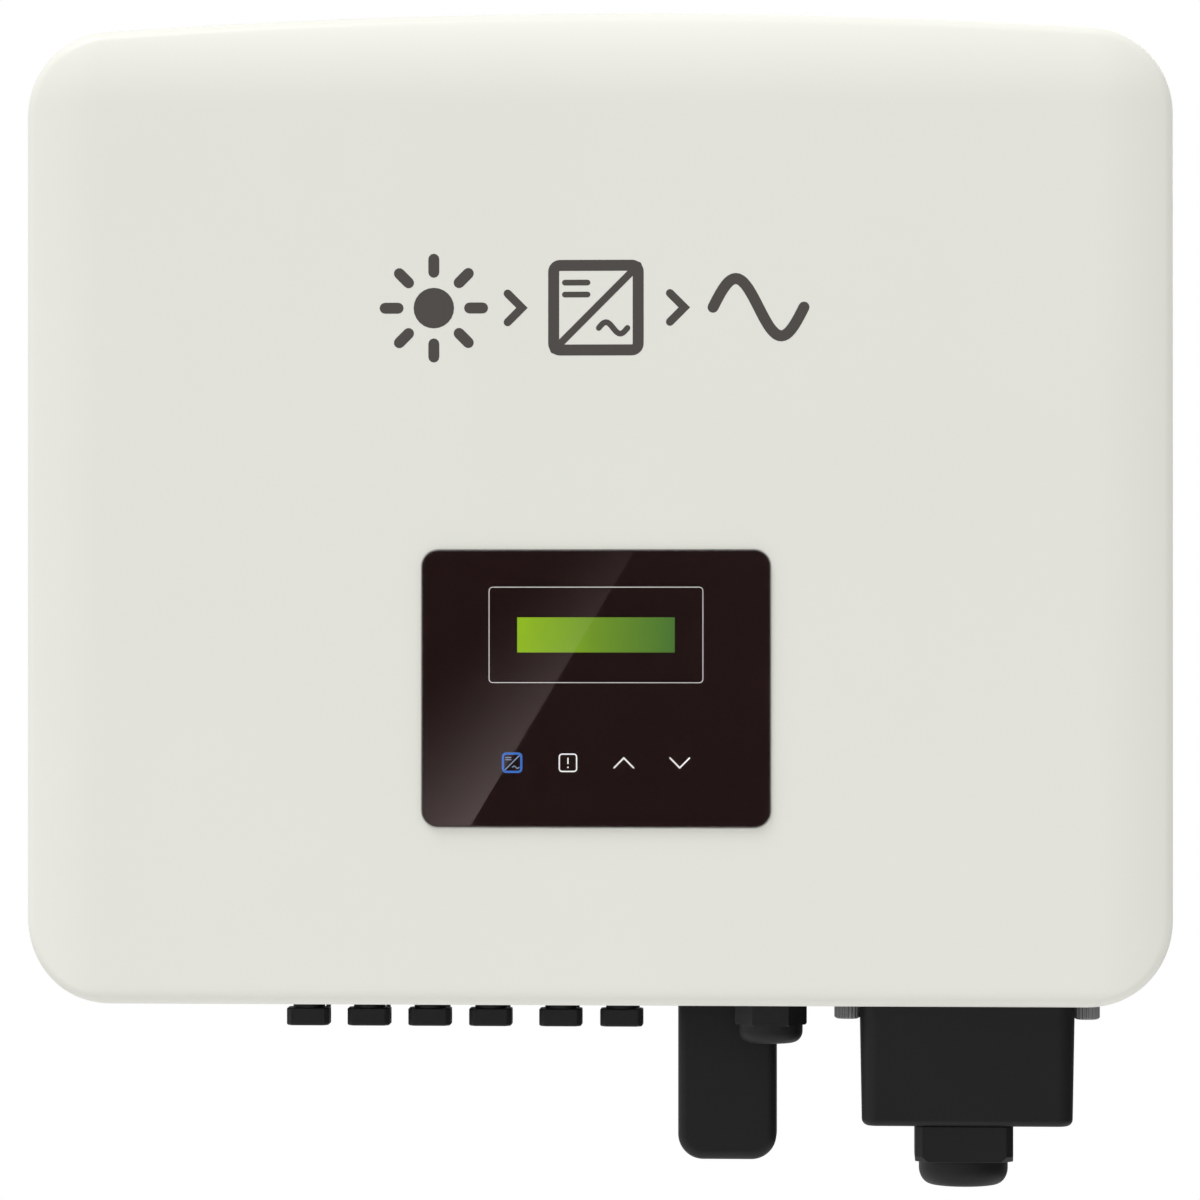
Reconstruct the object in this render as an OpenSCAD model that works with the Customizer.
// Wall-mounted three-phase string inverter.
// X runs to the right seen from the front, Y runs back into the wall and Z up.
// The origin is the middle of the wall bracket's bolt pattern, on the wall plane y = 0.

/* [Front cover] */
// Width of the front cover
cover_w = 482; // [476:1:488]
// Height of the front cover at the middle of its crowned top
cover_h = 417; // [414:1:420]
// Depth from the flat front face to the rear edge of the skirt
cover_depth = 61; // [60:0.5:62]
// Wall thickness of the cover
cover_wall = 2.5; // [2:0.1:3]
// Radius of the corners seen from the front
corner_r = 36; // [32:1:40]
// Rise of the middle of the top edge above its ends
crown_rise = 9.5; // [8:0.5:11]
// Radius of the outer edge between the front face and the skirt
lip_r = 4; // [3:0.5:5]

/* [Chassis] */
// Width of the cast chassis behind the cover
chassis_w = 440; // [436:1:442]
// Wall thickness of the chassis
chassis_wall = 3; // [2.5:0.1:3.2]
// How far the chassis underside sits above the cover's lower edge
underside_recess = 15; // [14:0.5:16]

/* [Display] */
// Width of the glossy display window
window_w = 146; // [140:1:150]
// Height of the glossy display window
window_h = 116; // [112:1:120]
// Width of the visible liquid crystal area
lcd_w = 66; // [60:1:70]
// Height of the visible liquid crystal area
lcd_h = 15.5; // [14:0.5:18]

/* [Heat sink and fans] */
// Number of cooling fins between two neighbouring ribs
fins_per_bay = 11; // [7:1:12]
// Thickness of a cooling fin
fin_t = 2.2; // [1.6:0.1:2.6]
// Side of each square fan frame
fan_size = 50; // [48:1:50]
// Number of blades on each fan rotor
blade_count = 7; // [5:1:7]

/* [Cable connections] */
// Number of photovoltaic strings, each with a positive and a negative connector
string_count = 6; // [4:1:6]
// Distance between neighbouring string connectors
pv_pitch = 26.4; // [25:0.1:26.5]
// Radius of the cable hole in the grid cable's seal
ac_cable_r = 9; // [7:0.5:10]
// Radius of each cable hole in the signal cable's seal
com_cable_r = 3.2; // [2.5:0.1:3.5]
// Number of ribs around a thumb screw's head
rib_count = 20; // [14:1:26]

/* [Wall bracket] */
// Distance between the wall bolts across the bracket
bolt_span_x = 240; // [230:1:250]
// Distance between the upper and lower wall bolts
bolt_span_z = 72; // [70:1:76]
// Radius of the wall bolt holes
bolt_hole_r = 4.5; // [3.5:0.5:5]

/* [Hidden] */
$fn = 48;
gap = 0.05; // running or sliding clearance on a radius
cut = 1; // how far a cutter runs past the face that it opens

// Depths along Y, from the front face to the wall
front_y = -189;
skirt_y = front_y + cover_depth;
seat_y = -137; // rear face of the cover's inner ledge
flange_y = -134; // front face of the chassis flange
flange_t = 4;
tub_back_y = -71; // rear face of the chassis back wall
back_wall = 4;
sink_y = -69.5; // front face of the heat sink base
fin_root_y = -62;
fin_tip_y = -10;
duct_y = -8.5;

// Heights along Z
cover_bottom = -300;
cover_top = cover_bottom + cover_h;
deck_z = cover_bottom + underside_recess; // underside of the chassis
deck_t = 4;
deck_in = deck_z + deck_t;
tub_top = 92;
tub_h = tub_top - deck_z;
tub_r = 9;

// The top edge is an arc, and the corners are tangent to it
crown_half = cover_w / 2;
crown_r = (crown_half * crown_half + crown_rise * crown_rise) / (2 * crown_rise);
crown_zc = cover_top - crown_r;

// The front face is flat in the middle and rolls back towards the sides and the top
roll_r = 75;
side_roll = 32;
top_roll = 38;

display_z = -167;
lcd_z = display_z + 22.5;
key_z = display_z - 31;
key_pitch = 23.4;
window_r = 7;
pocket = 0.8; // depth of the pocket that takes the window
mask_t = 0.4;
window_t = 2.2;

ac_x = 156.5;
ac_y = -99;
ac_half_w = 46.6;
ac_half_d = 25;
ac_bottom = -356.5;
ac_gland_x = 155.2;
thumb_dx = 51.6;
thumb_y = -112;
thumb_head_r = 5.6;
thumb_tip = -310.3;

com_x = 71.8;
com_y = -110;
dongle_x = 52.4;
dongle_y = -81;
port_y = -84;

switch_x = -185;
switch_y = -100;
valve_x = -152;
valve_y = -87;
ground_x = 226; // outer face of the ground pads
ground_y = -100;
ground_z = [-250, -220];

pv_front_y = -113;
pv_rear_y = -87;
pv_rear_shift = -1.5;
pv_first_x = -127.8;
pv_group = 4; // connectors before the wider gap
pv_extra_gap = 4;
pv_x = [for (i = [0 : string_count - 1])
    pv_first_x + i * pv_pitch + (i >= pv_group ? pv_extra_gap : 0)];

fan_x = [-104, 0, 104];
fan_y = -36;
fan_z = -276;
fan_h = 20;

board_y = -87.4; // rear face of the power board
board_t = 1.6;
board_face = board_y - board_t;
post_x = 185;
post_rows = [-222, -145, -68, 5];
m3 = 1.5; // shank radius of the board screws
m3_hole = m3 + 0.1;

// ---- Points, outlines and basic solids ----

function arc(c, r, a0, a1, n) =
    [for (i = [0 : n]) c + r * [cos(a0 + (a1 - a0) * i / n), sin(a0 + (a1 - a0) * i / n)]];

// Rectangle with round corners, centred on the origin
function rounded(w, h, r, n = 6) = concat(
    arc([w / 2 - r, -h / 2 + r], r, -90, 0, n),
    arc([w / 2 - r, h / 2 - r], r, 0, 90, n),
    arc([-w / 2 + r, h / 2 - r], r, 90, 180, n),
    arc([-w / 2 + r, -h / 2 + r], r, 180, 270, n));

function moved(points, d) = [for (p = points) p + d];

// The cover seen from the front, drawn in by inset on every side
function cover_outline(inset, n = 8) =
    let (
        corner = max(corner_r, inset + 3),
        r = corner - inset,
        hx = cover_w / 2 - corner,
        z_low = cover_bottom + corner,
        z_high = crown_zc + sqrt(pow(crown_r - corner, 2) - hx * hx),
        a = atan2(z_high - crown_zc, hx),
        top = arc([0, crown_zc], crown_r - inset, a, 180 - a, n + 2)
    )
    concat(
        arc([hx, z_low], r, -90, 0, n),
        arc([hx, z_high], r, 0, a, n),
        [for (i = [1 : n + 1]) top[i]],
        arc([-hx, z_high], r, 180 - a, 180, n),
        arc([-hx, z_low], r, 180, 270, n));

// How far the front face has rolled back at a point of the outline
function rolled(d) = d <= 0 ? 0 : roll_r - sqrt(roll_r * roll_r - d * d);
function front_drop(p) =
    rolled(abs(p[0]) - (cover_w / 2 - side_roll)) + rolled(p[1] - (cover_top - top_roll));

// A ring of the cover's surface: lip_a turns from the skirt (0) to the front face (90)
function cover_ring(inset, lip_a, wall) =
    let (r = lip_r, in = inset + wall + r * (1 - cos(lip_a)))
    [for (p = cover_outline(in)) [p[0], front_y + wall + front_drop(p) + r * (1 - sin(lip_a)), p[1]]];

function skirt_ring(inset) = [for (p = cover_outline(inset)) [p[0], skirt_y, p[1]]];

// Level ring of a rounded box: w by d, at height z, about a point in the XY plane
function level_ring(c, w, d, r, z, n = 5) =
    [for (p = rounded(w, d, r, n)) [c[0] + p[0], c[1] + p[1], z]];

// Closed solid through rings with the same number of points
module skin(rings) {
    n = len(rings[0]);
    m = len(rings);
    sides = [for (i = [0 : m - 2], j = [0 : n - 1])
        let (a = i * n + j, b = i * n + (j + 1) % n)
        each [[a, b + n, b], [a, a + n, b + n]]];
    first = [for (j = [0 : n - 1]) j];
    last = [for (j = [n - 1 : -1 : 0]) (m - 1) * n + j];
    polyhedron([for (ring = rings) each ring], concat([first, last], sides));
}

function curve(a, b, c, d, n) =
    [for (i = [0 : n]) let (t = i / n, s = 1 - t)
        s * s * s * a + 3 * s * s * t * b + 3 * s * t * t * c + t * t * t * d];

function unit(v) = v / norm(v);

// Round wire along a path that never runs along X
module wire(path, r, sides = 8) {
    last = len(path) - 1;
    rings = [for (i = [0 : last])
        let (
            t = unit(path[min(i + 1, last)] - path[max(i - 1, 0)]),
            u = unit(cross([1, 0, 0], t)),
            v = cross(t, u)
        )
        [for (k = [0 : sides - 1])
            path[i] + r * (cos(360 * k / sides) * u + sin(360 * k / sides) * v)]];
    skin(rings);
}

// Outline in the XZ plane, extruded from y0 to y1
module slab(points, y0, y1) {
    translate([0, y1, 0]) rotate([90, 0, 0]) linear_extrude(y1 - y0) polygon(points);
}

// Profile in the YZ plane, extruded from x0 to x1
module rail(points, x0, x1) {
    translate([x0, 0, 0]) rotate([90, 0, 90]) linear_extrude(x1 - x0) polygon(points);
}

module box(x0, x1, y0, y1, z0, z1) {
    translate([x0, y0, z0]) cube([x1 - x0, y1 - y0, z1 - z0]);
}

module post_y(x, z, r, y0, y1, sides = 48) {
    translate([x, y1, z]) rotate([90, 0, 0]) cylinder(r = r, h = y1 - y0, $fn = sides);
}

module post_z(x, y, r, z0, z1, sides = 48) {
    translate([x, y, z0]) cylinder(r = r, h = z1 - z0, $fn = sides);
}

module turned(x, y, profile) {
    translate([x, y, 0]) rotate_extrude() polygon(profile);
}

// Socket screw: shank down from z = 0, head above it
module screw(shank_r, shank_l, head_r, head_h) {
    difference() {
        union() {
            translate([0, 0, -shank_l]) cylinder(r = shank_r, h = shank_l + 0.5);
            cylinder(r = head_r, h = head_h);
        }
        translate([0, 0, head_h * 0.4]) cylinder(r = head_r * 0.5, h = head_h, $fn = 6);
    }
}

// The same screw driven along Y: facing is the side that its head looks to
module screw_y(x, y, z, facing, shank_r, shank_l, head_r, head_h) {
    translate([x, y, z]) rotate([-90 * facing, 0, 0]) screw(shank_r, shank_l, head_r, head_h);
}

// ---- Wall bracket and hanging parts ----

bracket_w = 300;
bracket_h = 100;
sheet = 2.5;
hook_x = 80;
hook_w = 44;
hook_z = -6;
hook_rise = 18;

module wall_bracket() {
    color("silver") difference() {
        union() {
            slab(rounded(bracket_w, bracket_h, 8), -sheet, 0);
            for (s = [-1, 1]) hook(s * hook_x);
        }
        for (sx = [-1, 1], sz = [-1, 1])
            post_y(sx * bolt_span_x / 2, sz * bolt_span_z / 2, bolt_hole_r, -sheet - cut, cut);
        for (s = [-1, 1])
            box(s * hook_x - hook_w / 2, s * hook_x + hook_w / 2, -sheet - 0.01, cut,
                hook_z + sheet, hook_z + sheet + hook_rise);
    }
}

// Tab pressed out of the bracket and turned up into a J
module hook(x) {
    lip_y = -9;
    rail([[lip_y, hook_z], [-sheet / 2, hook_z], [-sheet / 2, hook_z + sheet],
        [lip_y + sheet, hook_z + sheet], [lip_y + sheet, hook_z + hook_rise],
        [lip_y, hook_z + hook_rise]], x - hook_w / 2 + 0.5, x + hook_w / 2 - 0.5);
}

rib_x = [-154, -52, 52, 154]; // thick ribs of the heat sink that take screws
rib_t = 8;
rail_z0 = 15;
rail_z1 = 27;
rail_screw_z = 21.6;

// Bent strip on the heat sink whose tongue drops into the bracket's hooks
module hanger_rail() {
    tongue_y = -3;
    seat_z = hook_z + sheet;
    half = rib_x[3] + rib_t / 2;
    color("silver") difference() {
        rail([[fin_tip_y, rail_z0], [tongue_y - sheet, rail_z0], [tongue_y - sheet, seat_z],
            [tongue_y, seat_z], [tongue_y, rail_z0 + sheet], [fin_tip_y + sheet, rail_z0 + sheet],
            [fin_tip_y + sheet, rail_z1], [fin_tip_y, rail_z1]], -half, half);
        for (x = rib_x) post_y(x, rail_screw_z, m4_hole, fin_tip_y - cut, fin_tip_y + sheet + cut);
    }
}

// ---- Heat sink, duct and fans ----

sink_w = 330;
sink_z0 = -250;
sink_z1 = 70;
side_screw_x = 161.5;
sink_screw_z = [-240, -140, -40, 60];

m4 = 2; // shank radius of the rear screws
m4_hole = m4 + 0.2;
m4_depth = 12;
duct_screw_z = [-235, -65];
tray_screw_z = -240;
tray_screw_y = [-50, -22];

bay = rib_x[1] - rib_x[0];
fin_x = [for (b = [2 : -1 : 0], i = [fins_per_bay : -1 : 1])
    rib_x[b] + rib_t / 2 + (bay - rib_t) * i / (fins_per_bay + 1)];
teeth = concat([for (x = fin_x) [x, fin_t]], [for (x = rib_x) [x, rib_t]]);

// The cross-section of the heat sink: a base with fins and ribs standing on it
module sink_section() {
    fin_h = fin_tip_y - fin_root_y;
    translate([-sink_w / 2, sink_y]) square([sink_w, fin_root_y - sink_y]);
    for (t = teeth) translate([t[0] - t[1] / 2, fin_root_y - cut]) square([t[1], fin_h + cut]);
}

module heat_sink() {
    color("darkgray") difference() {
        translate([0, 0, sink_z0]) linear_extrude(sink_z1 - sink_z0) sink_section();
        for (x = rib_x, z = concat(rail_screw_z, duct_screw_z))
            post_y(x, z, m4 + gap, fin_tip_y - m4_depth, fin_tip_y + cut);
        for (s = [-1, 1], y = tray_screw_y) translate([s * (rib_x[3] + rib_t / 2), y, tray_screw_z])
            rotate([0, -90 * s, 0]) translate([0, 0, -cut]) cylinder(r = m4 + gap, h = 6 + cut);
        for (s = [-1, 1], z = sink_screw_z)
            post_y(s * side_screw_x, z, 1.8, sink_y - cut, fin_root_y + cut);
    }
}

module heatsink_gasket() {
    frame = 9;
    color("black") difference() {
        box(-sink_w / 2, sink_w / 2, tub_back_y, sink_y, sink_z0, sink_z1);
        box(-sink_w / 2 + frame, sink_w / 2 - frame, tub_back_y - cut, sink_y + cut,
            sink_z0 + frame, sink_z1 - frame);
        for (s = [-1, 1], z = sink_screw_z)
            post_y(s * side_screw_x, z, 1.8, tub_back_y - cut, sink_y + cut);
    }
}

module heatsink_screws() {
    color("dimgray") for (s = [-1, 1], z = sink_screw_z)
        screw_y(s * side_screw_x, fin_root_y, z, 1, 1.6, 11, 3, 2.2);
}

tray_x = 158;
tray_z = -278;
tray_side = 1.5;

// The screws of the hanger rail, the duct plate, the fan tray and the fans
module rear_screws() {
    color("dimgray") {
        for (x = rib_x) {
            screw_y(x, fin_tip_y + sheet, rail_screw_z, 1, m4, m4_depth, 3.8, 2.2);
            for (z = duct_screw_z) screw_y(x, duct_y, z, 1, m4, m4_depth, 3.8, 2.2);
        }
        for (s = [-1, 1], y = tray_screw_y) translate([s * (tray_x + tray_side), y, tray_screw_z])
            rotate([0, 90 * s, 0]) screw(m4, 6, 3.8, 2.2);
        for (x = fan_x, c = fan_corners) translate([x + c[0], fan_y + c[1], tray_z - 2 * guard_r])
            rotate([180, 0, 0]) screw(m4, 9, 3.8, 2.2);
    }
}

module duct_plate() {
    color("silver") difference() {
        box(-tray_x, tray_x, fin_tip_y, duct_y, tray_z, -55);
        for (x = rib_x, z = duct_screw_z) post_y(x, z, m4_hole, fin_tip_y - cut, duct_y + cut);
    }
}

module wall_spacers() {
    color("black") for (s = [-1, 1])
        translate([s * 130, 0, -200]) rotate([90, 0, 0])
            rotate_extrude() polygon([[0, 0], [8, 0], [9, 1], [9, -duct_y], [0, -duct_y]]);
}

fan_bore_r = 23.4;
fan_hub_r = 12;
guard_r = 0.8;
fan_corners = [for (sx = [-1, 1], sy = [-1, 1]) [sx * 20, sy * 20]];

// Tray below the fins, with a round air opening under each fan
module fan_tray() {
    y0 = fan_y - 29;
    color("silver") difference() {
        union() {
            box(-tray_x - tray_side, tray_x + tray_side, y0, fin_tip_y, tray_z, fan_z);
            for (s = [-1, 1]) {
                x = s * (tray_x + tray_side / 2);
                box(x - tray_side / 2, x + tray_side / 2, fin_root_y + 2.5, fin_tip_y, tray_z, -230);
            }
        }
        for (x = fan_x) {
            post_z(x, fan_y, fan_bore_r, tray_z - cut, fan_z + cut);
            for (c = fan_corners) post_z(x + c[0], fan_y + c[1], m4_hole, tray_z - cut, fan_z + cut);
        }
        for (y = tray_screw_y) translate([-tray_x - 4, y, tray_screw_z]) rotate([0, 90, 0])
            cylinder(r = m4_hole, h = 2 * tray_x + 8);
    }
}

// Welded wire guard: rings on a cross of two bars with an eye at each end
module fan_guards() {
    ring_r = [7, 13, 19];
    eye_r = 3;
    reach = norm(fan_corners[0]) - eye_r;
    color("silver") for (x = fan_x) translate([x, fan_y, tray_z - guard_r]) {
        for (r = ring_r) rotate_extrude() translate([r, 0]) circle(guard_r, $fn = 16);
        for (a = [45, 135]) rotate([0, 90, a])
            cylinder(r = guard_r, h = 2 * reach, center = true, $fn = 16);
        for (c = fan_corners) translate(c) rotate_extrude() translate([eye_r, 0])
            circle(guard_r, $fn = 16);
    }
}

module fan_frames() {
    color("black") for (x = fan_x) translate([x, fan_y, fan_z]) {
        difference() {
            linear_extrude(fan_h) polygon(rounded(fan_size, fan_size, 4));
            translate([0, 0, -cut]) cylinder(r = fan_bore_r, h = fan_h + 2 * cut);
            for (c = fan_corners) translate([c[0], c[1], -cut])
                cylinder(r = m4 + gap, h = fan_h + 2 * cut);
        }
        difference() {
            union() {
                cylinder(r = fan_hub_r - 1.5, h = 2.5);
                cylinder(r = 4, h = 13);
                for (a = [0 : 90 : 270]) rotate([0, 0, a]) translate([9, -1.5, 0])
                    cube([fan_bore_r - 8, 3, 2.5]);
            }
            translate([0, 0, 2]) cylinder(r = 1.5 + gap, h = 20);
        }
    }
}

module fan_rotor(x) {
    color("black") translate([x, fan_y, fan_z]) {
        difference() {
            translate([0, 0, 3.5]) cylinder(r = fan_hub_r, h = 15);
            translate([0, 0, 3]) cylinder(r = fan_hub_r - 1.5, h = 13.5);
        }
        translate([0, 0, 3]) cylinder(r = 1.5, h = 14);
        for (i = [0 : blade_count - 1]) rotate([0, 0, i * 360 / blade_count]) fan_blade();
    }
}

// Cambered blade, cut to a round tip just inside the frame
module fan_blade() {
    tip_r = fan_bore_r - 0.6;
    section = concat(arc([-6.7, 18.5], 14, -91, -13, 5), arc([-6.7, 18.5], 15.2, -13, -91, 5));
    intersection() {
        translate([0, tip_r + 2, 0]) rotate([90, 0, 0])
            linear_extrude(tip_r + 2 - fan_hub_r + 1) polygon(section);
        cylinder(r = tip_r, h = fan_h);
    }
}

// ---- Casing ----

screw_inset = 8.25;
screw_side_z = [-240, -150, -60, 30];
screw_row_x = [-150, -50, 50, 150];

function crown_at(x, inset) = crown_zc + sqrt(pow(crown_r - inset, 2) - x * x);
screw_at = concat(
    [for (s = [-1, 1], z = screw_side_z) [s * (cover_w / 2 - screw_inset), z]],
    [for (x = screw_row_x) [x, cover_bottom + screw_inset]],
    [for (x = screw_row_x) [x, crown_at(x, screw_inset)]]);

// Painted shell with an inner ledge that presses on the gasket
module front_cover() {
    lip = [0 : 30 : 90];
    run = [5, 11, 18, 26, 36];
    outer = concat([skirt_ring(0)], [for (a = lip) cover_ring(0, a, 0)],
        [for (d = run) cover_ring(d, 90, 0)]);
    inner = concat([skirt_ring(cover_wall)], [for (a = [0 : 45 : 90]) cover_ring(0, a, cover_wall)],
        [for (d = [9, 22, 36]) cover_ring(d, 90, cover_wall)]);
    ledge_t = 4;
    color("gainsboro") difference() {
        union() {
            skin(concat([for (i = [len(inner) - 1 : -1 : 0]) inner[i]], outer));
            difference() {
                slab(cover_outline(1.2), seat_y - ledge_t, seat_y);
                slab(cover_outline(20), seat_y - ledge_t - cut, seat_y + cut);
            }
            for (p = screw_at) post_y(p[0], p[1], 4, seat_y - 13, seat_y - ledge_t + cut);
            for (sx = [-1, 1], sz = [-1, 1])
                post_y(sx * panel_post_x, display_z + sz * panel_post_z, 3.4,
                    front_y + cover_wall - 0.5, display_board_y);
        }
        for (p = screw_at) post_y(p[0], p[1], 2 + gap, seat_y - 12, seat_y + cut);
        slab(moved(rounded(window_w + 0.6, window_h + 0.6, window_r + 0.3), [0, display_z]),
            front_y - cut, front_y + pocket);
        slab(moved(rounded(window_w - 30, window_h - 26, 4), [0, display_z]),
            front_y - cut, front_y + 2 * cover_wall);
        for (sx = [-1, 1], sz = [-1, 1])
            post_y(sx * panel_post_x, display_z + sz * panel_post_z, m3 + gap,
                display_board_y - 6, display_board_y + cut);
    }
}

module cover_gasket() {
    color("black") difference() {
        slab(cover_outline(12), seat_y, flange_y);
        slab(cover_outline(17), seat_y - cut, flange_y + cut);
    }
}

module cover_screws() {
    color("silver") for (p = screw_at)
        screw_y(p[0], flange_y + flange_t, p[1], 1, 2, 18, 3.5, 3.4);
}

// Cast tub: flange to the cover, back wall on the heat sink, deck for the connectors
module chassis() {
    tub_z = (tub_top + deck_z) / 2;
    inner_h = tub_h - deck_t - chassis_wall;
    color("gray") difference() {
        union() {
            slab(moved(rounded(chassis_w, tub_h, tub_r), [0, tub_z]), flange_y, tub_back_y);
            slab(cover_outline(cover_wall + 2), flange_y, flange_y + flange_t);
            for (s = [-1, 1], z = [-200 : 28 : 52]) side_rib(s, z);
            for (z = ground_z) box(chassis_w / 2 - 2, ground_x, ground_y - 8, ground_y + 8, z - 8, z + 8);
        }
        slab(moved(rounded(chassis_w - 2 * chassis_wall, inner_h, tub_r - chassis_wall),
            [0, tub_z + (deck_t - chassis_wall) / 2]), flange_y - cut, tub_back_y - back_wall);
        box(-150, 150, tub_back_y - back_wall - cut, tub_back_y + cut, -235, 10);
        for (s = [-1, 1], z = sink_screw_z)
            post_y(s * side_screw_x, z, 1.6 + gap, tub_back_y - back_wall - cut, tub_back_y + cut);
        for (p = screw_at) post_y(p[0], p[1], 2.2, flange_y - cut, flange_y + flange_t + cut);
        for (z = ground_z) translate([ground_x - 8.5, ground_y, z]) rotate([0, 90, 0])
            cylinder(r = 2.5 + gap, h = 10);
        deck_holes();
    }
}

// Cast stiffening rib on a side wall
module side_rib(s, z) {
    x = s * (chassis_w / 2 + 2.5);
    box(x - 3.5, x + 3.5, flange_y + 1, tub_back_y - 4, z, z + 3);
}

module deck_holes() {
    z0 = deck_z - cut;
    z1 = deck_in + 2 * cut;
    for (x = pv_x) {
        post_z(x, pv_front_y, 8 + gap, z0, z1);
        post_z(x + pv_rear_shift, pv_rear_y, 8 + gap, z0, z1);
    }
    post_z(com_x, com_y, 9.9 + gap, z0, z1);
    post_z(switch_x, switch_y, 4 + gap, z0, z1);
    post_z(valve_x, valve_y, 4 + gap, z0, z1);
    box(dongle_x - 16, dongle_x + 16, port_y - 8, port_y + 8, z0, z1);
    box(ac_x - 33, ac_x + 33, ac_y - 16, ac_y + 16, z0, z1);
    for (s = [-1, 1]) post_z(ac_x + s * thumb_dx, thumb_y, 2 + gap, z0, z1);
}

module breather_valve() {
    head_z = deck_z - 3;
    color("black") {
        post_z(valve_x, valve_y, 4, deck_z, deck_in + 3);
        post_z(valve_x, valve_y, 6.5, head_z, deck_z, 6);
        turned(valve_x, valve_y, [[0, head_z - 2], [4.2, head_z - 2], [5.2, head_z - 1],
            [5.2, head_z], [0, head_z]]);
    }
}

module ground_screws() {
    color("goldenrod") for (z = ground_z) translate([ground_x, ground_y, z]) rotate([0, 90, 0]) {
        translate([0, 0, 1.2]) screw(2.5, 9, 4.4, 3.2);
        difference() {
            cylinder(r = 6, h = 1.2);
            translate([0, 0, -cut]) cylinder(r = 2.5, h = 4);
        }
    }
}

// ---- Display behind the front face ----

panel_back = front_y + pocket; // rear face of the mask
display_board_y = -176;
panel_post_x = 66;
panel_post_z = 50;
key_x = [for (i = [0 : 3]) (i - 1.5) * key_pitch];

module display_window() {
    color([0.1, 0.08, 0.08, 0.6])
        slab(moved(rounded(window_w, window_h, window_r), [0, display_z]),
            panel_back - mask_t - window_t, panel_back - mask_t);
}

// Black printed film with clear areas for the liquid crystal and the two indicators
module display_mask() {
    color("black") difference() {
        slab(moved(rounded(window_w, window_h, window_r), [0, display_z]), panel_back - mask_t, panel_back);
        box(-lcd_w / 2, lcd_w / 2, panel_back - 2 * cut, panel_back + cut,
            lcd_z - lcd_h / 2, lcd_z + lcd_h / 2);
        for (x = [key_x[0], key_x[1]])
            box(x - 3, x + 3, panel_back - 2 * cut, panel_back + cut, key_z - 3, key_z + 3);
    }
}

module lcd_module() {
    glass_y = panel_back;
    color("yellowgreen") {
        box(-36, 36, glass_y, glass_y + 2, lcd_z - 12, lcd_z + 12);
        box(-40, 40, glass_y + 2, display_board_y, lcd_z - 18, lcd_z + 18);
    }
}

module display_board() {
    color("darkgreen") difference() {
        union() {
            slab(moved(rounded(144, 112, 2), [0, display_z]), display_board_y, display_board_y + board_t);
            for (x = [key_x[0], key_x[1]])
                box(x - 2.5, x + 2.5, display_board_y - 6, display_board_y, key_z - 2.5, key_z + 2.5);
            box(-12, 12, display_board_y + board_t, display_board_y + 7, display_z + 30, display_z + 37);
        }
        for (sx = [-1, 1], sz = [-1, 1])
            post_y(sx * panel_post_x, display_z + sz * panel_post_z, m3_hole,
                display_board_y - cut, display_board_y + board_t + cut);
    }
}

// Stacked turns of the two springs that carry touch sensing to the window
module touch_springs() {
    turns = 7;
    rise = (display_board_y - panel_back) / turns;
    color("goldenrod") for (x = [key_x[2], key_x[3]], i = [0 : turns - 1])
        translate([x, panel_back + (i + 0.5) * rise, key_z]) rotate([90, 0, 0])
            rotate_extrude() translate([4, 0]) circle(rise * 0.45, $fn = 16);
}

// Flat cable from the display board back to the control board
module display_cable() {
    start = [0, display_board_y + 7, display_z + 33.5];
    end = [60, control_y, -112];
    path = curve(start, start + [0, 12, 0], end + [0, -14, 0], end, 10);
    rings = [for (i = [0 : 10]) [for (p = [[-9, -0.5], [9, -0.5], [9, 0.5], [-9, 0.5]])
        [path[i][0] + p[0], path[i][1], path[i][2] + p[1]]]];
    color("lightgray") skin([for (i = [10 : -1 : 0]) rings[i]]);
}

// ---- Power electronics ----

module power_board() {
    color("darkgreen") difference() {
        box(-195, 195, board_face, board_y, -232, 12);
        for (s = [-1, 1], z = post_rows) post_y(s * post_x, z, m3_hole, board_face - cut, board_y + cut);
    }
}

control_y = -152;
control_posts = [[25, -220], [176, -218], [25, -140], [188, -110]];

module board_standoffs() {
    color("gold") {
        for (s = [-1, 1], z = post_rows) standoff(s * post_x, z, 4, board_y, tub_back_y - back_wall);
        for (p = control_posts) standoff(p[0], p[1], 3, control_y + board_t, board_face);
    }
}

// Hexagonal post with a threaded hole in its front end
module standoff(x, z, r, y0, y1) {
    difference() {
        post_y(x, z, r, y0, y1, 6);
        post_y(x, z, m3 + gap, y0 - cut, y0 + 7);
    }
}

// The screws of the power board, the control board and the display board
module board_screws() {
    color("silver") {
        for (s = [-1, 1], z = post_rows) screw_y(s * post_x, board_face, z, -1, m3, 7, 2.8, 2);
        for (p = control_posts) screw_y(p[0], control_y, p[1], -1, m3, 7, 2.8, 2);
        for (sx = [-1, 1], sz = [-1, 1])
            screw_y(sx * panel_post_x, display_board_y + board_t, display_z + sz * panel_post_z,
                1, m3, 6, 2.8, 2);
    }
}

module_x = [-120, -72, -24, 24, 72, 120];

// Sealed switch modules on the heat sink, with pins to the board
module power_modules() {
    color("black") for (x = module_x) {
        box(x - 21, x + 21, sink_y - 12, sink_y, -132, -72);
        for (dx = [-15 : 10 : 15], dz = [-24, 24])
            post_y(x + dx, -102 + dz, 0.8, board_y, sink_y - 12, 16);
    }
}

module dc_link_capacitors() {
    r = 15;
    h = 45;
    color("midnightblue") for (x = [-72 : 36 : 72], z = [-118, -80])
        translate([x, board_face, z]) rotate([90, 0, 0]) rotate_extrude()
            polygon([[0, 0], [r, 0], [r, h - 7], [r - 1.2, h - 5.5], [r, h - 4], [r, h - 1],
                [r - 1, h], [0, h]]);
}

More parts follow.
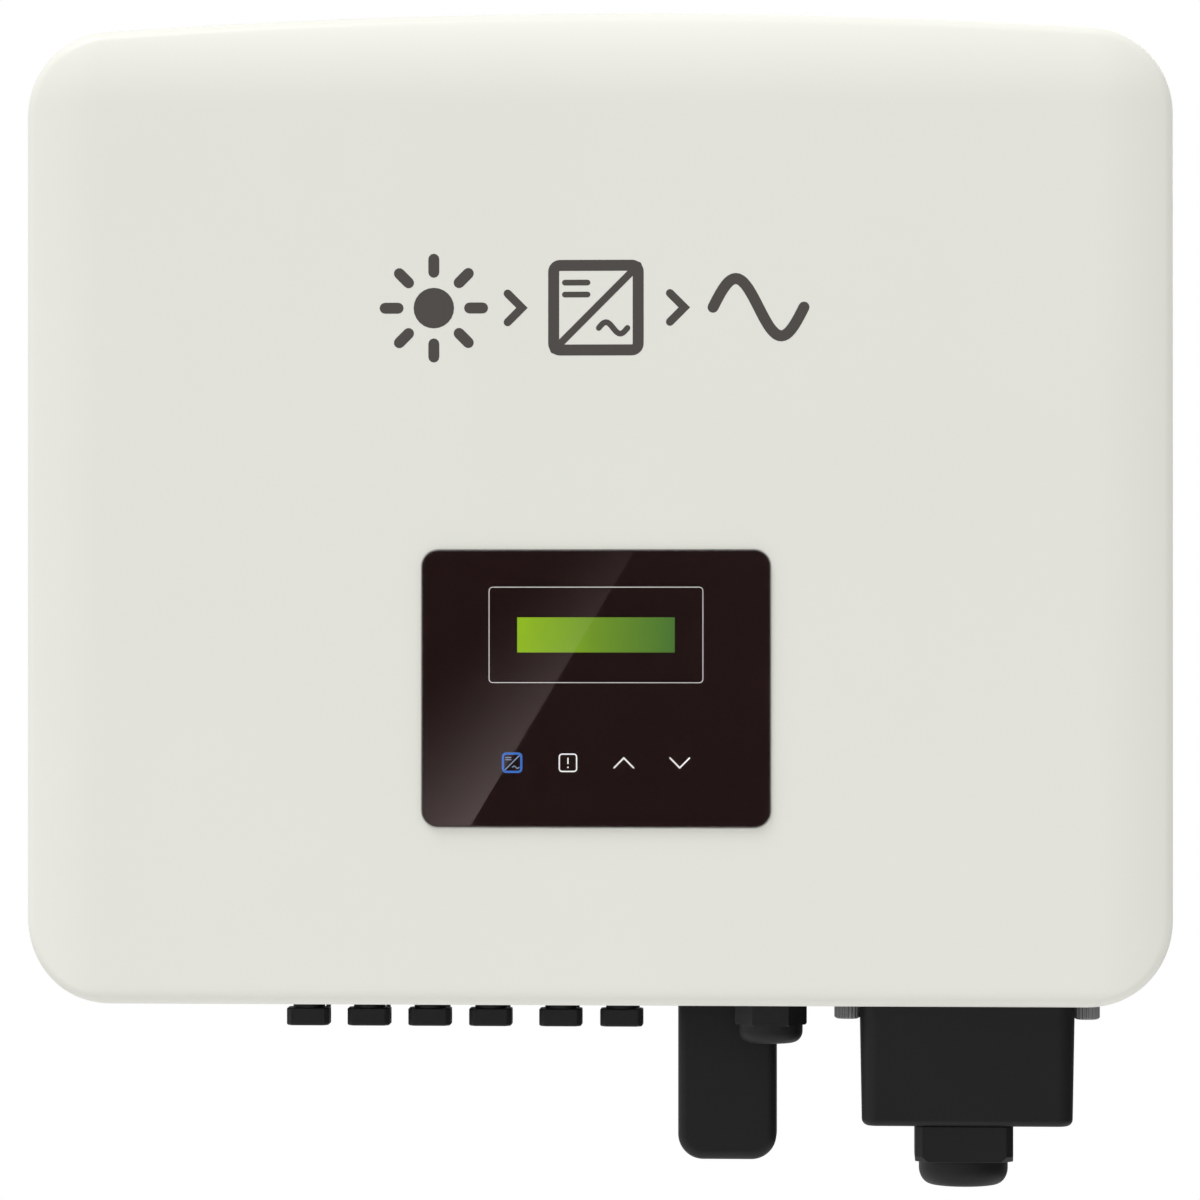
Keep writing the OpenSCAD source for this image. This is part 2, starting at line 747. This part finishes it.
module film_capacitors() {
    color("whitesmoke") for (x = [-150, -110, 110, 150], z = [-120, -70])
        box(x - 16, x + 16, board_face - 36, board_face, z - 21, z + 21);
}

inductor_z0 = 20;
inductor_z1 = 84;

// Potted boost inductors in cans on the back wall
module boost_inductors() {
    back = tub_back_y - back_wall;
    color("dimgray") for (x = [-175, -112, -49]) {
        difference() {
            slab(moved(rounded(58, inductor_z1 - inductor_z0, 4), [x, 52]), back - 62, back);
            slab(moved(rounded(53, inductor_z1 - inductor_z0 - 5, 2), [x, 52]), back - 62 - cut, back - 57);
        }
        for (dx = [-14, 14]) post_y(x + dx, 40, 2.5, back - 66, back - 56);
    }
}

// Gapped cores with two windings each
module filter_inductors() {
    back = tub_back_y - back_wall;
    for (x = [14, 77, 140]) {
        color("dimgray") difference() {
            box(x, x + 56, back - 34, back, inductor_z0, inductor_z1);
            box(x + 8, x + 26, back - 35, back + cut, inductor_z0 + 8, inductor_z1 - 8);
            box(x + 30, x + 48, back - 35, back + cut, inductor_z0 + 8, inductor_z1 - 8);
        }
        color("peru") for (i = [0 : 9])
            box(x + 1.5, x + 54.5, back - 56, back - 34,
                inductor_z0 + 9.5 + i * 4.6, inductor_z0 + 13.1 + i * 4.6);
    }
}

// Ring cores with two windings each, on round bases
module emi_chokes() {
    ring_r = 17;
    core_r = 7;
    lift = 12;
    for (c = [[-150, -195], [-85, -195], [-20, -195], [110, -20], [165, -20]])
        translate([c[0], board_face, c[1]]) rotate([90, 0, 0]) {
            color("black") cylinder(r = 27, h = 2);
            color("dimgray") translate([0, 0, lift]) rotate_extrude() translate([ring_r, 0]) circle(core_r);
            color("peru") for (a = [15, 195]) rotate([0, 0, a]) translate([0, 0, lift])
                rotate_extrude(angle = 150) translate([ring_r, 0]) difference() {
                    circle(core_r + 2.4);
                    circle(core_r + 0.2);
                }
        }
}

module grid_relays() {
    color("orange") for (x = [42, 80, 118, 156], z = [-202, -172])
        box(x - 15, x + 15, board_face - 27, board_face, z - 9, z + 9);
}

module current_sensors() {
    color("black") for (x = [-120, -60, 0, 48]) difference() {
        box(x - 12, x + 12, board_face - 24, board_face, -40, -16);
        post_z(x, board_face - 14, 5, -41, -15);
    }
}

module control_board() {
    z0 = -226;
    color("darkgreen") difference() {
        union() {
            box(18, 194, control_y, control_y + board_t, z0, -104);
            for (x = [50, 90, 130]) box(x, x + 22, control_y - 2.5, control_y, -180, -158);
            for (x = [30 : 26 : 134]) box(x, x + 18, control_y - 11, control_y, z0 + 6, z0 + 14);
        }
        for (p = control_posts) post_y(p[0], p[1], m3_hole, control_y - cut, control_y + board_t + cut);
    }
}

// ---- Direct-current side ----

module dc_switch_body() {
    color("dimgray") difference() {
        union() {
            box(switch_x - 24, switch_x + 24, switch_y - 23, switch_y + 23, deck_in, deck_in + 12);
            for (i = [0 : 3])
                box(switch_x - 21, switch_x + 21, switch_y - 20, switch_y + 20,
                    deck_in + 12 + i * 8.6, deck_in + 19.4 + i * 8.6);
            box(switch_x - 18, switch_x + 18, switch_y - 17, switch_y + 17, deck_in + 12, deck_in + 45);
        }
        post_z(switch_x, switch_y, 4 + gap, deck_in - cut, deck_in + 14);
    }
}

// Rotary handle and its shaft, which turn as one
module dc_switch_knob() {
    color("black") {
        post_z(switch_x, switch_y, 4, deck_z - 3, deck_in + 13);
        turned(switch_x, switch_y, [[0, deck_z - 6], [18.5, deck_z - 6], [20, deck_z - 4.5],
            [20, deck_z - 1], [0, deck_z - 1]]);
        translate([switch_x, switch_y, deck_z - 20]) linear_extrude(15)
            polygon(rounded(11, 37, 4));
    }
}

pv_cage_w = 18.4;
pv_cage_d = 15;
pv_tip = -314.2;
pv_cage_top = -306.6;

// Panel socket whose mouth has two latch windows
module pv_positive(x, y) {
    difference() {
        union() {
            post_z(x, y, 8, deck_z, deck_in + 11);
            post_z(x, y, 10, deck_z - 4, deck_z, 6);
            post_z(x, y, 6.9, pv_cage_top - 1, deck_z - 4);
            skin([level_ring([x, y], pv_cage_w - 1, pv_cage_d - 1, 3, pv_tip, 3),
                level_ring([x, y], pv_cage_w, pv_cage_d, 3.5, pv_tip + 0.6, 3),
                level_ring([x, y], pv_cage_w, pv_cage_d, 3.5, pv_cage_top, 3)]);
        }
        post_z(x, y, 4.7, pv_tip - cut, deck_z - 7);
        for (s = [-1, 1]) box(min(x + s * 5, x + s * 12), max(x + s * 5, x + s * 12), y - 2.6, y + 2.6,
            pv_tip + 2.2, pv_tip + 5.4);
        post_z(x, y, 2.4, deck_z - 8, deck_in + 12);
    }
}

// Panel plug with a hollow probe between two latch fingers
module pv_negative(x, y) {
    difference() {
        union() {
            post_z(x, y, 8, deck_z, deck_in + 11);
            post_z(x, y, 10, deck_z - 4, deck_z, 6);
            post_z(x, y, 7.6, deck_z - 13, deck_z - 4);
            post_z(x, y, 4.4, deck_z - 30, deck_z - 12);
            for (s = [-1, 1]) {
                box(min(x + s * 5.6, x + s * 7.2), max(x + s * 5.6, x + s * 7.2), y - 2.4, y + 2.4,
                    deck_z - 26, deck_z - 12);
                box(min(x + s * 7, x + s * 8.2), max(x + s * 7, x + s * 8.2), y - 2.4, y + 2.4,
                    deck_z - 22, deck_z - 19);
            }
        }
        post_z(x, y, 2.4, deck_z - 31, deck_in + 12);
    }
}

module pv_positive_connectors() {
    color("#262626") for (x = pv_x) pv_positive(x, pv_front_y);
}

module pv_negative_connectors() {
    color("#262626") for (x = pv_x) pv_negative(x + pv_rear_shift, pv_rear_y);
}

// Pins of the positive sockets and sleeves of the negative plugs
module pv_contacts() {
    color("silver") for (x = pv_x) {
        post_z(x, pv_front_y, 2, pv_tip + 9, deck_in + 9);
        post_z(x, pv_front_y, 2.35, deck_z - 6, deck_in + 9);
        difference() {
            post_z(x + pv_rear_shift, pv_rear_y, 2.35, deck_z - 28, deck_in + 9);
            post_z(x + pv_rear_shift, pv_rear_y, 1.6, deck_z - 29, deck_z - 14);
        }
    }
}

module pv_nuts() {
    color("#262626") for (x = pv_x, row = [[0, pv_front_y], [pv_rear_shift, pv_rear_y]]) difference() {
        post_z(x + row[0], row[1], 11, deck_in, deck_in + 6, 6);
        post_z(x + row[0], row[1], 8 + gap, deck_in - cut, deck_in + 7);
    }
}

// Wires from the string connectors and the grid socket to the power board's lower edge
module connection_wires() {
    r = 1.9;
    pv_z = deck_in + 9.3;
    board_end = board_face - 0.4;
    edge_z = -225;
    color("firebrick") for (x = pv_x) {
        wire(curve([x, pv_front_y, pv_z], [x, pv_front_y, pv_z + 22], [x, pv_front_y - 4, edge_z],
            [x, board_end, edge_z], 9), r);
        wire(curve([x + pv_rear_shift, pv_rear_y, pv_z], [x + pv_rear_shift, pv_rear_y, pv_z + 18],
            [x + 13, pv_front_y - 6, edge_z], [x + 13, board_end, edge_z], 9), r);
    }
    ac_z = deck_in + 17;
    color("saddlebrown") for (dx = pole_x)
        wire(curve([ac_x + dx, ac_y, ac_z], [ac_x + dx, ac_y, ac_z + 17],
            [ac_x + dx, ac_y - 4, edge_z], [ac_x + dx, board_end, edge_z], 8), r);
}

// ---- Signal cable gland and communication stick ----

module com_gland_body() {
    color("#262626") difference() {
        union() {
            post_z(com_x, com_y, 9.9, deck_z, deck_in + 8);
            post_z(com_x, com_y, 15.4, deck_z - 7, deck_z, 6);
            post_z(com_x, com_y, 11.5, deck_z - 24, deck_z - 7);
            difference() {
                post_z(com_x, com_y, 14, deck_in, deck_in + 5, 6);
                post_z(com_x, com_y, 9, deck_in - cut, deck_in + 6);
            }
        }
        post_z(com_x, com_y, 8.5, deck_z - 25, deck_in + 9);
    }
}

module com_gland_seal() {
    color("black") difference() {
        post_z(com_x, com_y, 8.5, deck_z - 24, deck_z - 8);
        for (s = [-1, 1]) post_z(com_x + s * 4.2, com_y, com_cable_r, deck_z - 25, deck_z - 7);
    }
}

function hexagon(flats) = [for (i = [0 : 5]) flats / sqrt(3) * [cos(60 * i), sin(60 * i)]];

// Square with its corners cut off
function bevelled(w, c) = [for (q = [0 : 3]) for (p = [[w / 2, c - w / 2], [w / 2, w / 2 - c]])
    [p[0] * cos(90 * q) - p[1] * sin(90 * q), p[0] * sin(90 * q) + p[1] * cos(90 * q)]];

// Prism of an outline that ends in a rounded dome, with a stepped bore
module dome_nut(x, y, outline, z_top, z_hex, z_tip, dome_r, mouth_r, thread_r, thread_end) {
    rim_r = mouth_r + 1;
    dome = concat([[0, z_hex + 2], [dome_r, z_hex + 2]],
        [for (a = [0 : 15 : 90])
            [rim_r + (dome_r - rim_r) * cos(a), z_hex - (z_hex - z_tip) * sin(a)]],
        [[0, z_tip]]);
    difference() {
        union() {
            translate([x, y, z_hex]) linear_extrude(z_top - z_hex) polygon(outline);
            turned(x, y, dome);
        }
        post_z(x, y, mouth_r, z_tip - cut, z_top + cut);
        post_z(x, y, thread_r, thread_end, z_top + cut);
    }
}

module com_gland_nut() {
    color("#262626")
        dome_nut(com_x, com_y, hexagon(27), deck_z - 8, -313.6, -321.4, 13.8, 8.2, 11.5 + gap, deck_z - 25);
}

module dongle_port() {
    color("#262626") difference() {
        union() {
            box(dongle_x - 16, dongle_x + 16, port_y - 8, port_y + 8, deck_z, deck_in + 18);
            translate([dongle_x, port_y, deck_z - 3]) linear_extrude(3) polygon(rounded(38, 20, 3));
        }
        box(dongle_x - 6.6, dongle_x + 6.6, port_y - 2.8, port_y + 2.8, deck_z - 4, deck_z + 12);
    }
}

dongle_w = 43;
dongle_d = 24;
dongle_tip = -374.5;
dongle_top = deck_z - 3;

// Upright stick with generously rounded lower corners
module dongle_housing() {
    corner = 11;
    edge = 2.5;
    c = [dongle_x, dongle_y];
    low = [for (a = [-75 : 15 : 0]) [corner * (1 - cos(a)), corner * (1 + sin(a))]];
    rings = concat(
        [level_ring(c, dongle_w - 2 * corner, dongle_d - 2 * edge, 3, dongle_tip)],
        [for (p = low) level_ring(c, dongle_w - 2 * p[0], dongle_d - 2 * min(edge, p[0] * edge / 3), 4,
            dongle_tip + p[1])],
        [level_ring(c, dongle_w, dongle_d, 4, dongle_top)]);
    color("#262626") skin(rings);
}

module dongle_plug() {
    color("silver") difference() {
        box(dongle_x - 6, dongle_x + 6, port_y - 2.25, port_y + 2.25, dongle_top, dongle_top + 13);
        box(dongle_x - 5.5, dongle_x + 5.5, port_y - 0.2, port_y + 1.8, dongle_top + 4, dongle_top + 14);
    }
}

// ---- Grid connector ----

pole_x = [for (i = [-2 : 2]) i * 12];
plug_top = deck_z - 18.4;

module ac_socket() {
    color("#262626") difference() {
        union() {
            box(ac_x - 33, ac_x + 33, ac_y - 16, ac_y + 16, deck_z - 18, deck_in);
            box(ac_x - 36, ac_x + 36, ac_y - 19, ac_y + 19, deck_in, deck_in + 14);
        }
        for (dx = pole_x) post_z(ac_x + dx, ac_y, 2.5, deck_z - 19, deck_in + 15);
    }
}

module ac_contacts() {
    color("gold") for (dx = pole_x) post_z(ac_x + dx, ac_y, 2.5, deck_z - 36, deck_in + 17);
}

// Five-pole screw terminal that pulls off with the housing
module ac_terminal_plug() {
    color("seagreen") difference() {
        box(ac_x - 33, ac_x + 33, ac_y - 15, ac_y + 15, plug_top - 30, plug_top);
        for (dx = pole_x) {
            post_z(ac_x + dx, ac_y, 2.6, plug_top - 19, plug_top + cut);
            post_z(ac_x + dx, ac_y, 3.4, plug_top - 31, plug_top - 21);
            post_y(ac_x + dx, plug_top - 24, 2.8, ac_y - 16, ac_y - 7);
        }
    }
}

ac_flange_z = deck_z - 2;
spigot_r = 18;
spigot_l = 14;

flange_w = 114;
flange_d = 52;

// Tapered cup with ears for the thumb screws and a threaded spigot for the gland nut
module ac_housing() {
    wall = 3;
    taper = 2.4;
    c = [ac_x, ac_y];
    w = 2 * ac_half_w;
    d = 2 * ac_half_d;
    color("#262626") {
        difference() {
            union() {
                translate([ac_x, ac_y, ac_flange_z - 6]) linear_extrude(6)
                    polygon(rounded(flange_w, flange_d, 6));
                skin([level_ring(c, w - taper - 8, d - taper - 8, 5, ac_bottom),
                    level_ring(c, w - taper - 2.6, d - taper - 2.6, 7, ac_bottom + 1),
                    level_ring(c, w - taper, d - taper, 8, ac_bottom + 4),
                    level_ring(c, w, d, 8, ac_flange_z - 1)]);
                post_z(ac_gland_x, ac_y, spigot_r, ac_bottom - spigot_l, ac_bottom + 1);
            }
            skin([level_ring(c, w - taper - 2 * wall, d - taper - 2 * wall, 5, ac_bottom + wall),
                level_ring(c, w - 2 * wall, d - 2 * wall, 5, ac_flange_z + cut)]);
            post_z(ac_gland_x, ac_y, 14, ac_bottom - spigot_l - 1, ac_bottom + wall + cut);
            for (s = [-1, 1]) {
                post_z(ac_x + s * thumb_dx, thumb_y, 2 + gap, ac_flange_z - 7, ac_flange_z + cut);
                post_z(ac_x + s * thumb_dx, thumb_y, thumb_head_r + 0.8, thumb_tip - 1.2, ac_flange_z - 6);
            }
        }
        for (s = [-1, 1]) box(ac_x + s * 33 - 5, ac_x + s * 33 + 5, ac_y - 4, ac_y + 4,
            ac_bottom + wall - 0.5, plug_top - 30);
    }
}

module ac_gasket() {
    color("black") translate([ac_x, ac_y, ac_flange_z]) difference() {
        linear_extrude(2) polygon(rounded(flange_w, flange_d, 6));
        translate([0, 0, -cut]) linear_extrude(4) polygon(rounded(84, 43, 5));
        for (s = [-1, 1]) translate([s * thumb_dx, thumb_y - ac_y, -cut]) cylinder(r = 2.2, h = 4);
    }
}

module ac_gland_seal() {
    color("black") difference() {
        post_z(ac_gland_x, ac_y, 14, ac_bottom - spigot_l, ac_bottom - spigot_l + 16);
        post_z(ac_gland_x, ac_y, ac_cable_r, ac_bottom - spigot_l - 1, ac_bottom - spigot_l + 17);
    }
}

module ac_gland_nut() {
    color("#262626") dome_nut(ac_gland_x, ac_y, bevelled(42.2, 3), ac_bottom - 0.5, -372.1, -383.3, 19.3, 13,
        spigot_r + gap, ac_bottom - spigot_l - 0.5);
}

// Captive screw with a ribbed head below the ear
module thumb_screw(x) {
    head_top = ac_flange_z - 6;
    head_tip = thumb_tip;
    r = thumb_head_r;
    ribs = [for (i = [0 : 4 * rib_count - 1]) let (a = i * 90 / rib_count)
        (r - (i % 4 < 2 ? 0 : 0.45)) * [cos(a), sin(a)]];
    color("gray") {
        post_z(x, thumb_y, 2, head_top, deck_in + 3);
        translate([x, thumb_y, head_tip + 1]) linear_extrude(head_top - head_tip - 1) polygon(ribs);
        turned(x, thumb_y, [[0, head_tip], [r - 1.6, head_tip], [r - 0.7, head_tip + 1], [0, head_tip + 1]]);
    }
}

wall_bracket();
chassis();
front_cover();
cover_gasket();
cover_screws();
display_window();
display_mask();
lcd_module();
display_board();
touch_springs();
display_cable();
heat_sink();
heatsink_gasket();
heatsink_screws();
hanger_rail();
rear_screws();
duct_plate();
wall_spacers();
fan_tray();
fan_guards();
fan_frames();
fan_rotor(fan_x[0]);  // fan_rotor_left
fan_rotor(fan_x[1]);  // fan_rotor_middle
fan_rotor(fan_x[2]);  // fan_rotor_right
power_board();
board_standoffs();
board_screws();
power_modules();
dc_link_capacitors();
film_capacitors();
boost_inductors();
filter_inductors();
emi_chokes();
grid_relays();
current_sensors();
control_board();
connection_wires();
dc_switch_body();
dc_switch_knob();
pv_positive_connectors();
pv_negative_connectors();
pv_contacts();
pv_nuts();
com_gland_body();
com_gland_seal();
com_gland_nut();
dongle_port();
dongle_housing();
dongle_plug();
ac_socket();
ac_contacts();
ac_terminal_plug();
ac_housing();
ac_gasket();
ac_gland_seal();
ac_gland_nut();
thumb_screw(ac_x - thumb_dx);  // ac_thumb_screw_left
thumb_screw(ac_x + thumb_dx);  // ac_thumb_screw_right
breather_valve();
ground_screws();
